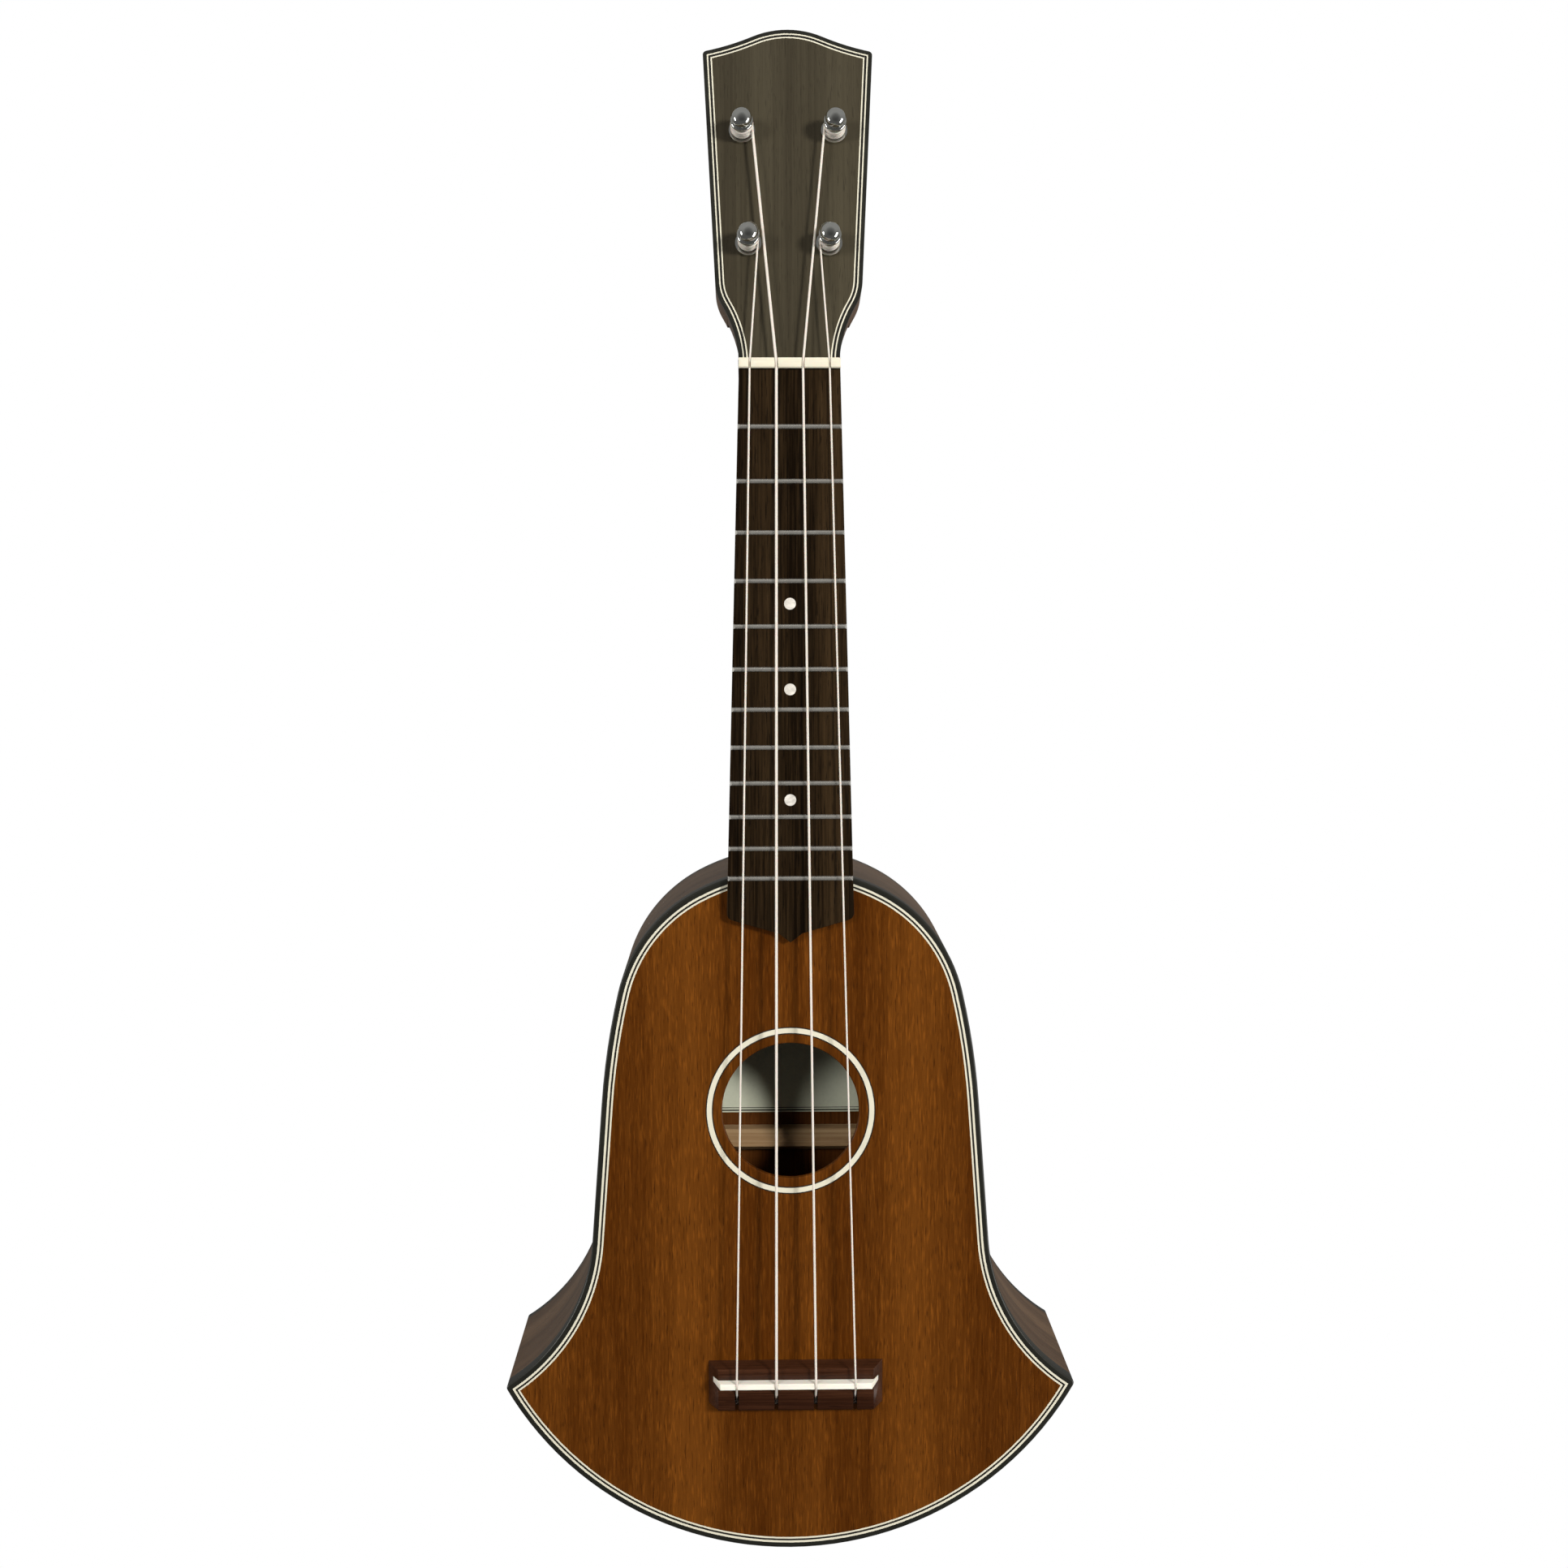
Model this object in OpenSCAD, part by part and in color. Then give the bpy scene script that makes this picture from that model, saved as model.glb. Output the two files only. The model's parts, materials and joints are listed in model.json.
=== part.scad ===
// Bell-shaped soprano ukulele, twelve frets to the body, four nylon strings and four
// rear-facing friction pegs. Millimetres. +X is the player's view to the right, -Y is the
// front (strings side), +Z runs up the neck. The origin is on the centre line, on the top
// plane of the neck and soundboard, at the fingerboard edge of the nut.

/* [Scale and neck] */
// Scale length from the nut to the twelfth fret, doubled
scale_len = 346; // [320:1:390]
// Number of frets
fret_count = 12; // [10:1:12]
// Width of the fingerboard at the nut
nut_w = 34.2; // [32:0.2:42]
// Growth of the fingerboard's width for each millimetre down the neck
board_taper = 0.0502; // [0.03:0.001:0.07]
// Thickness of the fingerboard
board_t = 4; // [3:0.1:6]
// Length of fingerboard past the last fret, measured at its corners
board_tail = 14.5; // [8:0.5:16]
// Fall of the fingerboard's end from its corners to its middle
board_end_fall = 4.5; // [3:0.5:8]
// Width of the small tongue in the middle of the fingerboard's end
tongue_w = 8.2; // [6:0.2:14]
// Length of the small tongue
tongue_len = 3.2; // [2:0.2:5]
// Depth of the neck behind the fingerboard, at the nut
neck_t_nut = 13; // [11:0.5:17]
// Depth of the neck behind the fingerboard, where the heel starts
neck_t_heel = 15; // [12:0.5:19]
// Length of the heel's curve along the neck
heel_len = 34; // [28:1:45]
// Length of the heel at its cap
heel_cap_len = 14; // [10:1:20]
// Thickness of the heel cap
heel_cap_t = 1.6; // [1:0.1:3]
// Diameter of the dowels that join the neck to the body
dowel_d = 8; // [6:0.5:10]
// Depth of each dowel in the heel
dowel_in_heel = 10; // [8:0.5:11]
// Depth of each dowel in the neck block
dowel_in_block = 18; // [10:1:20]

/* [Frets, nut and dots] */
// Width of a fret's crown
fret_w = 1.6; // [1.2:0.1:2.4]
// Height of a fret's crown
fret_h = 0.9; // [0.7:0.05:1.2]
// Width of a fret's tang
tang_w = 0.55; // [0.4:0.05:0.7]
// Depth of a fret's tang
tang_h = 1.6; // [1.2:0.1:2]
// Thickness of the nut along the neck
nut_t = 3.5; // [3:0.1:5]
// Height of the nut above the fingerboard
nut_rise = 2.2; // [1.8:0.1:3]
// Height of the strings' centre lines above the fingerboard, at the nut
string_rise = 1.2; // [1.1:0.05:1.5]
// Height of the strings' centre lines above the crown of the twelfth fret
action = 2.8; // [2.2:0.1:3.6]
// Distance between neighbouring strings at the nut
nut_spacing = 8.95; // [8:0.05:9.6]
// Diameter of a position dot
dot_d = 4; // [3:0.5:6]
// Depth of a position dot in the fingerboard
dot_t = 1.2; // [0.8:0.1:1.5]

/* [Headstock] */
// Length of the headstock from the nut to its tip
head_len = 119.3; // [112:0.2:135]
// Width of the headstock at its top corners
head_w_top = 59; // [56:0.2:72]
// Width of the headstock at its lower shoulders
head_w_low = 50.3; // [48:0.2:56]
// Height of the lower shoulders above the nut
head_shoulder = 27.5; // [24:0.5:34]
// Backward tilt of the headstock
head_tilt = 12; // [8:0.5:15]
// Thickness of the headstock's wood behind the headplate
head_t = 12; // [10:0.5:14]
// Thickness of the headplate
headplate_t = 1.5; // [1:0.1:2.5]
// Radius of the convex crown at the headstock's tip
head_crown_r = 30; // [28:1:36]
// Steepest slope of the headstock's top edge
head_crown_turn = 24; // [20:1:26]
// Fall of the headstock's top edge from the tip to the corners
head_crown_fall = 8.2; // [7:0.2:9]
// Width of the headstock's dark edge binding
head_binding_w = 1.4; // [0.8:0.1:2]
// Width of each pale purfling line on the headstock
head_line_w = 0.45; // [0.4:0.05:0.8]
// Width of the dark line between them
head_black_w = 0.8; // [0.4:0.05:1.2]

/* [Body] */
// Length of the body
body_len = 241.4; // [225:1:290]
// Width of the body across its lower tips
body_w = 200; // [180:1:240]
// Distance from the nut to the top of the body
body_join = 170.2; // [168:0.5:172.5]
// Height of the lower tips above the tail
tip_height = 59; // [48:1:66]
// Depth of the body at the neck end
depth_neck = 50; // [44:0.5:62]
// Depth of the body at the tail
depth_tail = 65.5; // [56:0.5:80]
// Radius of the top of the bell
crown_r = 69.3; // [64:0.1:72]
// Angle that the top of the bell turns through on each side
crown_turn = 28.4; // [26:0.1:30]
// Radius of the shoulders
shoulder_r = 53.6; // [48:0.1:58]
// Angle that each shoulder turns through
shoulder_turn = 48.5; // [46:0.1:50]
// Radius of the flanks below the shoulders
flank_r = 251; // [200:1:300]
// Angle that each flank turns through
flank_turn = 8.9; // [8:0.1:10]
// Height of the flare above the lower tips
flare_height = 51; // [44:1:56]
// Radius that softens the lower tips
tip_round = 1.5; // [1:0.1:1.8]

/* [Plates and sides] */
// Thickness of the soundboard
top_t = 2; // [1.6:0.1:3]
// Thickness of the back
back_t = 2; // [1.6:0.1:3]
// Thickness of the sides, and of the dark bindings that cap them
side_t = 1.9; // [1.5:0.1:2.5]
// Height of the dark binding on the side
binding_h = 6; // [4:0.5:8]
// Height of the dark binding round the back edge
back_binding_h = 3; // [2.5:0.5:5]
// Width of the outer white purfling line
white_line_w = 0.75; // [0.5:0.05:1]
// Width of the black purfling line
black_line_w = 0.65; // [0.5:0.05:1]
// Width of the inner cream purfling line
cream_line_w = 0.6; // [0.5:0.05:1]

/* [Soundhole] */
// Distance from the nut to the middle of the soundhole
hole_at = 255; // [245:0.5:258]
// Diameter of the soundhole
hole_d = 47.6; // [40:0.2:52]
// Inner diameter of the cream rosette ring
rosette_d = 54.7; // [53.4:0.1:58]
// Width of the cream rosette ring
rosette_w = 1.75; // [1.2:0.05:3]
// Width of the thin black line on each side of the rosette ring
rosette_line_w = 0.4; // [0.3:0.05:0.6]
// Depth of the rosette in the soundboard
rosette_t = 1; // [0.6:0.1:1.2]

/* [Inside] */
// Width of the linings
lining_w = 5; // [4:0.5:7]
// Height of the linings
lining_h = 6; // [5:0.5:9]
// Width of the neck block
neck_block_w = 50; // [44:1:56]
// Length of the neck block along the body
neck_block_len = 24; // [22:1:28]
// Width of the tail block
tail_block_w = 46; // [36:1:56]
// Length of the tail block along the body
tail_block_len = 14; // [10:1:18]
// Reach of the corner blocks from the tips
corner_block_len = 18; // [14:1:22]
// Width of a brace across the body
brace_w = 7; // [5:0.5:9]
// Height of a brace across the body
brace_h = 8; // [6:0.5:11]
// Width of a fan brace
fan_w = 5; // [4:0.5:6]
// Height of a fan brace
fan_h = 6; // [5:0.5:8]
// Spread of the outer fan braces
fan_turn = 7; // [4:0.5:9]
// Thickness of the bridge plate under the soundboard
bridge_plate_t = 1.8; // [1.4:0.1:2.5]
// Width of the label
label_w = 74; // [50:1:78]
// Height of the label
label_h = 52; // [40:1:56]
// Thickness of the label
label_t = 0.3; // [0.2:0.05:0.5]

/* [Bridge and saddle] */
// Width of the bridge at its foot
bridge_w = 60.8; // [56:0.2:70]
// Length of the bridge along the strings
bridge_len = 15.6; // [14:0.1:20]
// Height of the bridge
bridge_h = 6.5; // [5.8:0.1:8]
// Slope of the bridge's ends, from foot to top
bridge_end = 3.4; // [2.6:0.1:4]
// Sideways offset of the bridge and strings from the centre line
bridge_x = 1.6; // [-3:0.1:3]
// Extra string length at the saddle, for true pitch
compensation = 2; // [1:0.1:3.5]
// Thickness of the saddle
saddle_t = 2; // [1.6:0.1:3]
// Depth of the saddle's slot in the bridge
saddle_depth = 4; // [3:0.1:4.4]
// Distance from the front foot of the bridge to the saddle
saddle_at = 4.4; // [3.5:0.1:6]
// Distance between neighbouring strings at the saddle
saddle_spacing = 13.7; // [12:0.1:14.4]
// Width of a string slot in the bridge
slot_w = 1.3; // [1.1:0.05:1.6]
// Diameter of the pocket that holds a string's knot
pocket_d = 2.8; // [2.4:0.1:3.2]

/* [Strings] */
// Diameter of the G string
g_gauge = 0.65; // [0.5:0.01:0.9]
// Diameter of the C string
c_gauge = 0.95; // [0.7:0.01:1]
// Diameter of the E string
e_gauge = 0.8; // [0.6:0.01:1]
// Diameter of the A string
a_gauge = 0.62; // [0.5:0.01:0.9]
// Turns of string on a post, below the turn where the string arrives
turns_below = 3; // [1:1:3]
// Turns of string on a post, above the turn where the string arrives
turns_above = 2; // [1:1:2]

/* [Friction pegs] */
// Distance of the lower pegs from the centre line
lower_peg_x = 13.8; // [13:0.1:16]
// Distance of the upper pegs from the centre line
upper_peg_x = 15.9; // [15:0.1:18]
// Height of the lower pegs above the nut, along the headstock
lower_peg_s = 40.9; // [34:0.5:44]
// Height of the upper pegs above the nut, along the headstock
upper_peg_s = 81.6; // [72:0.5:88]
// Diameter of a post
post_d = 5.9; // [5:0.1:6.2]
// Diameter of the domed cap on a post
cap_d = 6.9; // [6.6:0.1:8]
// Height of a post above the headplate
post_h = 14; // [13:0.1:17]
// Running clearance round a post
post_gap = 0.08; // [0.03:0.01:0.1]
// Diameter of the bore in the headstock
peg_bore_d = 8; // [7.6:0.1:9]
// Diameter of the ferrule's flange on the front
ferrule_d = 9; // [8.8:0.1:11]
// Diameter of the bushing's flange on the rear
bushing_d = 11; // [10:0.1:12]
// Diameter of a button
button_d = 17; // [14:0.5:19]
// Thickness of a button
button_t = 6.5; // [5:0.5:8]
// Length of a button
button_len = 14; // [12:0.5:18]
// Diameter of a button screw's shank
screw_d = 2; // [1.6:0.1:2.5]

/* [Hidden] */

$fn = 64;
eps = 0.01;
far = 400;

// Colours
mahogany = "#6e4220";
side_wood = "#5f4b3c";
dark_wood = "#3b2c22";
ebony = "#2d2117";
binding_dark = "#32302a";
cream = "#f2ead2";
black = "#191713";
pale_wood = "#c9a878";
nylon = "#f4f1ea";
chrome = "#c9ccd0";
nickel = "#b9b8b2";

// Body: levels and outline
top_z = -body_join;
tail_z = top_z - body_len;
tip = [body_w / 2, tail_z + tip_height];
tip_reach = 12;
back_tilt = atan((depth_tail - depth_neck) / body_len);
crown_c = [0, top_z - crown_r];
shoulder_from = 90 - crown_turn;
flank_from = shoulder_from - shoulder_turn;
flank_to = flank_from - flank_turn;
shoulder_c = crown_c + (crown_r - shoulder_r) * dir(shoulder_from);
flank_c = shoulder_c + (shoulder_r - flank_r) * dir(flank_from);
flank_end = flank_c + flank_r * dir(flank_to);
flare_z = tip.y + flare_height;
flare_start = flank_end + (flank_end.y - flare_z) / cos(flank_to) * dir(flank_to - 90);
flare_run = tip - flare_start;
flare_r = flare_run * flare_run / (2 * flare_run * dir(flank_to));
flare_c = flare_start + flare_r * dir(flank_to);
bottom_r = (tip.x * tip.x + tip_height * tip_height) / (2 * tip_height);
bottom_c = [0, tail_z + bottom_r];
tip_index = search_last_x(body_half(0), tip.x);
body_outline = both_sides(body_half(0));
body_corners = [tip_index, len(body_outline) - tip_index];
purfling_w = white_line_w + black_line_w + cream_line_w;
plate_inset = side_t + purfling_w;
inner_inset = side_t + lining_w;

// Headstock: outline in its own tilted plane
head_z = nut_t;
head_side_lean = atan((head_w_top - head_w_low) / 2 / (head_corner_s() - head_shoulder));
throat_dx = head_w_low / 2 - nut_w / 2;
throat_turn = 2 * atan(throat_dx / head_shoulder) - head_side_lean;
throat_r = head_shoulder / (sin(throat_turn) - sin(head_side_lean));
throat_share = 0.3;
shoulder_throat_r = throat_share * throat_r;
neck_throat_r = throat_r - shoulder_throat_r;
low_c = [head_w_low / 2, head_shoulder] - shoulder_throat_r * dir(-head_side_lean);
neck_c = low_c + throat_r * dir(-throat_turn);
crown_top_c = [0, head_len - head_crown_r];
crown_end = crown_top_c + head_crown_r * dir(90 - head_crown_turn);
head_corner = [head_w_top / 2, head_corner_s()];
hollow_run = head_corner - crown_end;
hollow_dir = dir(90 - head_crown_turn);
hollow_r = hollow_run * hollow_run / (2 * hollow_run * hollow_dir);
hollow_c = crown_end + hollow_r * hollow_dir;
head_root = 12;
head_right = concat(
    arc(crown_top_c, head_crown_r, 90, 90 - head_crown_turn, 6),
    arc(hollow_c, hollow_r, 270 - head_crown_turn, 360 + angle_of(head_corner - hollow_c), 6, 1),
    arc(low_c, shoulder_throat_r, -head_side_lean, -throat_turn, 8),
    arc(neck_c, neck_throat_r, 180 - throat_turn, 180 - head_side_lean, 8, 1),
    [[nut_w / 2 - 0.2, -head_root]]);
head_outline = both_sides(head_right, true);
head_corner_index = 12;
head_corners = [head_corner_index, len(head_outline) - head_corner_index];
head_lines_w = 2 * head_line_w + head_black_w;

// Fingerboard and frets
last_fret_z = -fret_z(fret_count);
board_corner_z = last_fret_z - board_tail;
board_middle_z = board_corner_z - board_end_fall;
board_corner_r = 2.4;
bevel_w = 0.7;
dot_frets = [5, 7, 10];

// Strings and pegs, in the order G, C, E, A
gauges = [g_gauge, c_gauge, e_gauge, a_gauge];
peg_x = [-lower_peg_x, -upper_peg_x, upper_peg_x, lower_peg_x];
peg_s = [lower_peg_s, upper_peg_s, upper_peg_s, lower_peg_s];
slot_gap = 0.05;
nut_h = board_t + nut_rise;
string_seat_y = -board_t - string_rise;
twelfth_h = board_t + fret_h + action;
saddle_h = 2 * twelfth_h + string_seat_y - max(gauges) / 2;
string_bend_z = nut_t / 2;
string_level = 4.6;
turn_gap = 0.08;
saddle_z = -scale_len - compensation;
bridge_z = saddle_z + saddle_at;
bridge_front_lean = 0.6;
knot_d = 2.1;
knot_y = -2.6;
knot_inset = 2;
slot_from = 4.3;
pocket_len = 4.5;

// Friction pegs: heights above the headplate, negative towards the rear
flange_t = 1.4;
sleeve_len = 5;
rear_face = -(headplate_t + head_t);
bushing_t = 1.6;
bushing_sleeve = 4;
washer_t = 0.8;
washer_d = 9.6;
rear_stack = rear_face - bushing_t - washer_t;
button_gap = 0.2;
button_front = rear_stack - button_gap;
button_bore_d = 4;
boss_d = 9;
boss_len = 3;
button_end = button_front - button_len;
screw_head_d = 4.6;
screw_head_t = 1.6;
screw_len = 9;
collar_d = 7.6;
cap_neck_d = 5;
cap_len = 4.6;
collar_len = 1.6;
collar_at = 7.6;

// Inside
upper_brace_z = top_z - 45;
lower_brace_z = -hole_at - 37;
plate_w = bridge_w + 8;
plate_len = bridge_len + 8;
fan_x = 24;
fan_top = lower_brace_z - brace_w / 2;
fan_len = 92;
label_low_z = -hole_at - 16.5;
back_brace_w = 8;
back_brace_h = 9;
back_brace_at = [42, 110.3, body_len - tip_height - 5];
dowel_y = [15, 33];

// ---- Functions ----
function dir(a) = [cos(a), sin(a)];
function angle_of(v) = atan2(v.y, v.x);
function unit(v) = v / norm(v);

// Points on an arc from angle a0 to a1, leaving out the first `skip` points
function arc(c, r, a0, a1, steps, skip = 0) =
    [for (i = [skip:steps]) c + r * dir(a0 + (a1 - a0) * i / steps)];

// Index of the last point that lies at x
function search_last_x(p, x) = max([for (i = [0:len(p) - 1]) if (abs(p[i].x - x) < eps) i]);

// Closed outline from its right half, which starts on the centre line.
// It ends on the centre line too unless `open_end` is set.
function both_sides(right, open_end = false) = concat(right,
    [for (i = [len(right) - (open_end ? 1 : 2):-1:1]) [-right[i].x, right[i].y]]);

// Right-hand normal of the edge from a to b: it points inwards on a clockwise outline
function inward(a, b) = let (e = unit(b - a)) [e.y, -e.x];

// Outline moved inwards by d, with mitred corners
function inset(p, d) = let (n = len(p)) [for (i = [0:n - 1])
    let (u = inward(p[(i + n - 1) % n], p[i]), v = inward(p[i], p[(i + 1) % n]))
    p[i] + (u + v) * d / (1 + u * v)];

// Outline with the listed corners turned into arcs of radius r
function soften(p, corners, r, steps = 6) = let (n = len(p)) [for (i = [0:n - 1])
    let (u = inward(p[(i + n - 1) % n], p[i]), v = inward(p[i], p[(i + 1) % n]),
        c = p[i] + (u + v) * r / (1 + u * v), a0 = angle_of(-u), turn = acos(u * v))
    each len(search(i, corners)) == 0 ? [p[i]] : arc(c, r, a0, a0 - turn, steps)];

// Tip of the body's outline moved inwards by d, where its flare meets its bottom
function body_tip(d) = let (v = bottom_c - flare_c, u = unit(v), out = flare_r + d,
    run = (v * v + out * out - pow(bottom_r - d, 2)) / (2 * norm(v)))
    flare_c + run * u + sqrt(out * out - run * run) * [-u.y, u.x];

// Right half of the body's outline moved inwards by d, from the crown to the tail
function body_half(d) = let (t = body_tip(d)) concat(
    arc(crown_c, crown_r - d, 90, shoulder_from, 9),
    arc(shoulder_c, shoulder_r - d, shoulder_from, flank_from, 16, 1),
    arc(flank_c, flank_r - d, flank_from, flank_to, 6, 1),
    arc(flare_c, flare_r + d, flank_to + 180, 360 + angle_of(t - flare_c), 18),
    arc(bottom_c, bottom_r - d, angle_of(t - bottom_c), -90, 24, 1));

function head_corner_s() = head_len - head_crown_fall;
function fret_z(n) = scale_len * (1 - pow(2, -n / 12));
function board_half(z) = (nut_w - board_taper * z) / 2;
function nut_x(i) = nut_spacing * (i - 1.5);
function saddle_x(i) = bridge_x + saddle_spacing * (i - 1.5);

// World point from headstock coordinates: across, behind the face, along the face
function from_head(p) = [p.x, p.y * cos(head_tilt) + p.z * sin(head_tilt),
    head_z - p.y * sin(head_tilt) + p.z * cos(head_tilt)];
function to_head(p) = let (z = p.z - head_z) [p.x,
    p.y * cos(head_tilt) - z * sin(head_tilt), p.y * sin(head_tilt) + z * cos(head_tilt)];

// Radius of a string's centre line round its post
function wrap_r(i) = post_d / 2 + slot_gap + gauges[i] / 2;

// Where string i meets its post, on the side of the post nearest the centre line
function string_end(i) =
    let (n = to_head(string_seat(i)), to_nut = [n.x - peg_x[i], n.z - peg_s[i]],
        a = angle_of(to_nut) - sign(peg_x[i]) * acos(wrap_r(i) / norm(to_nut)),
        t = [peg_x[i], peg_s[i]] + wrap_r(i) * dir(a))
    from_head([t.x, -string_level, t.y]);
function string_seat(i) = [nut_x(i), string_seat_y, string_bend_z];
function saddle_top(i) = [saddle_x(i), -saddle_h - gauges[i] / 2, saddle_z - saddle_t / 2];
function knot_at(i) = [saddle_x(i), knot_y, bridge_z - bridge_len + knot_inset];
function string_route(i) = [knot_at(i), saddle_top(i), string_seat(i), string_end(i)];

// Rings of a round tube along a route
function tube_rings(route, r, sides) = let (last = len(route) - 1) [for (i = [0:last])
    let (t = unit(unit(route[min(i + 1, last)] - route[max(i - 1, 0)])),
        u = unit(cross([0, 1, 0], t)), v = cross(t, u))
    [for (k = [0:sides - 1]) route[i] + r * (cos(360 * k / sides) * u + sin(360 * k / sides) * v)]];

// Half-width of the headstock's throat at distance s from the nut
function throat_half(s) = let (low = neck_c.x - sqrt(pow(neck_throat_r, 2) - pow(s - neck_c.y, 2)),
    high = low_c.x + sqrt(max(0, pow(shoulder_throat_r, 2) - pow(s - low_c.y, 2))))
    s < neck_c.y + neck_throat_r * sin(throat_turn) ? low : high;

// Section of the neck: rounded behind, flat on top. A power of 2 is an ellipse and a
// higher power is squarer.
function neck_section(half, depth, power, steps = 16) = [for (i = [0:steps])
    let (a = 180 * i / steps)
    [half * sign(cos(a)) * pow(abs(cos(a)), 2 / power), depth * pow(sin(a), 2 / power)]];

// ---- Shared shapes ----
// Extrude an outline drawn in X and Z from depth y0 to depth y1
module slab(y0, y1) translate([0, y1, 0]) rotate([90, 0, 0]) linear_extrude(y1 - y0) children();

module skin(rings) {
    n = len(rings[0]);
    last = len(rings) - 1;
    polyhedron(
        points = [for (r = rings) each r],
        faces = concat(
            [[for (k = [0:n - 1]) k]],
            [for (i = [0:last - 1]) for (k = [0:n - 1]) let (m = (k + 1) % n, a = i * n, b = a + n)
                each [[a + k, b + m, a + m], [a + k, b + k, b + m]]],
            [[for (k = [n - 1:-1:0]) last * n + k]]),
        convexity = 6);
}

module body_shape(d = 0) polygon(both_sides(body_half(d)));
module body_soft() polygon(soften(body_outline, body_corners, tip_round));
module body_ring(d0, d1) difference() {
    body_shape(d0);
    body_shape(d1);
}
module edge_ring(w) difference() {
    body_soft();
    body_shape(w);
}

// Frame of the inclined back: its outer face is the plane y = 0
module back_frame() translate([0, depth_neck, top_z]) rotate([back_tilt, 0, 0]) children();
module back_layer(y0, y1) back_frame() translate([-far / 2, y0, -far + 50]) cube([far, y1 - y0, far]);
module behind(y) back_layer(y, y + 90);

module head_frame() translate([0, 0, head_z]) rotate([-head_tilt, 0, 0]) children();
module head_shape(d = 0) intersection() {
    polygon(inset(head_outline, d));
    translate([-far / 2, 0]) square([far, far]);
}
module head_ring(d0, d1) difference() {
    head_shape(d0);
    head_shape(d1);
}
module head_soft() intersection() {
    polygon(soften(head_outline, head_corners, tip_round));
    translate([-far / 2, 0]) square([far, far]);
}

// Frame of a peg: z is the height above the headplate
module peg_frame(i) head_frame() translate([peg_x[i], 0, peg_s[i]]) rotate([90, 0, 0]) children();
module ring(d_out, d_in, z0, z1) translate([0, 0, z0]) difference() {
    cylinder(d = d_out, h = z1 - z0);
    translate([0, 0, -1]) cylinder(d = d_in, h = z1 - z0 + 2);
}
module on_every_peg() for (i = [0:3]) peg_frame(i) children();

// Half-plane regions that part the sides at the tips
tip_in = body_tip(tip_reach);
tip_out = tip + (tip - tip_in);
module upper_right() polygon([[0, top_z + 20], [far / 2, top_z + 20], tip_out, tip_in, [0, tip_in.y]]);
module lower_region() polygon([tip_out, tip_in, [-tip_in.x, tip_in.y], [-tip_out.x, tip_out.y],
    [-far / 2, tail_z - 20], [far / 2, tail_z - 20]]);

// Areas that the blocks fill inside the sides
module neck_block_area() translate([-neck_block_w / 2, top_z - side_t - neck_block_len])
    square([neck_block_w, far]);
module tail_block_area() translate([-tail_block_w / 2, tail_z - 10])
    square([tail_block_w, 10 + side_t + tail_block_len]);
module corner_block_areas() for (s = [-1, 1])
    translate([s * tip.x, tip.y]) square([2 * corner_block_len, 4 * corner_block_len], center = true);
module inside_sides() intersection() {
    body_shape(side_t);
    children();
}
module lining_shape() difference() {
    body_ring(side_t, inner_inset);
    neck_block_area();
    tail_block_area();
    corner_block_areas();
}
module dowel_holes(gap) for (y = dowel_y) translate([0, y, top_z - side_t - dowel_in_block])
    cylinder(d = dowel_d + 2 * gap, h = dowel_in_block + side_t + dowel_in_heel);

// ---- Soundbox ----
module soundboard() color(mahogany) difference() {
    slab(0, top_t) body_shape(plate_inset);
    slab(-1, top_t + 1) translate([0, -hole_at]) circle(d = hole_d);
    slab(-1, rosette_t) translate([0, -hole_at]) difference() {
        circle(d = rosette_d + 2 * (rosette_w + rosette_line_w));
        circle(d = rosette_d - 2 * rosette_line_w);
    }
}

module back_plate() color(mahogany) intersection() {
    slab(0, 100) body_shape(side_t);
    back_layer(-back_t, 0);
}

module side_piece() color(side_wood) difference() {
    slab(binding_h, 100) intersection() {
        edge_ring(side_t);
        children();
    }
    behind(-back_binding_h);
    dowel_holes(0);
}
module right_side() side_piece() upper_right();
module left_side() side_piece() mirror([1, 0]) upper_right();
module bottom_side() side_piece() lower_region();

module block_piece() color(pale_wood) difference() {
    slab(top_t, 100) inside_sides() children();
    behind(-back_t);
}
module neck_block() difference() {
    block_piece() neck_block_area();
    dowel_holes(0);
}
module tail_block() block_piece() tail_block_area();
module corner_blocks() block_piece() corner_block_areas();

module top_linings() color(pale_wood) slab(top_t, top_t + lining_h) lining_shape();
module back_linings() color(pale_wood) intersection() {
    slab(0, 100) lining_shape();
    back_layer(-back_t - lining_h, -back_t);
}

// Braces have a flat foot on the plate and a gabled top
module gable(w, h, len) translate([-len / 2, 0, 0]) rotate([0, 90, 0]) linear_extrude(len)
    polygon([[-w / 2, 0], [w / 2, 0], [w / 2, 0.5 * h], [0.15 * w, h], [-0.15 * w, h], [-w / 2, 0.5 * h]]);
module top_brace(z) color(pale_wood) intersection() {
    slab(top_t, 100) body_shape(inner_inset);
    translate([0, top_t, z]) gable(brace_w, brace_h, far);
}
module upper_top_brace() top_brace(upper_brace_z);
module lower_top_brace() top_brace(lower_brace_z);

module fan_braces() color(pale_wood) difference() {
    for (s = [-1, 0, 1]) translate([s * fan_x, top_t, fan_top]) rotate([0, 90 - s * fan_turn, 0])
        translate([fan_len / 2 + 1, 0, 0]) gable(fan_w, fan_h, fan_len);
    translate([0, 0, lower_brace_z - brace_w / 2]) translate([-far / 2, 0, 0]) cube([far, 50, 40]);
    slab(0, 50) tail_block_area();
    slab(0, top_t + bridge_plate_t) bridge_plate_shape();
}
module bridge_plate_shape() translate([bridge_x, bridge_z - bridge_len / 2])
    square([plate_w, plate_len], center = true);
module bridge_plate() color(pale_wood) slab(top_t, top_t + bridge_plate_t) bridge_plate_shape();

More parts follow.
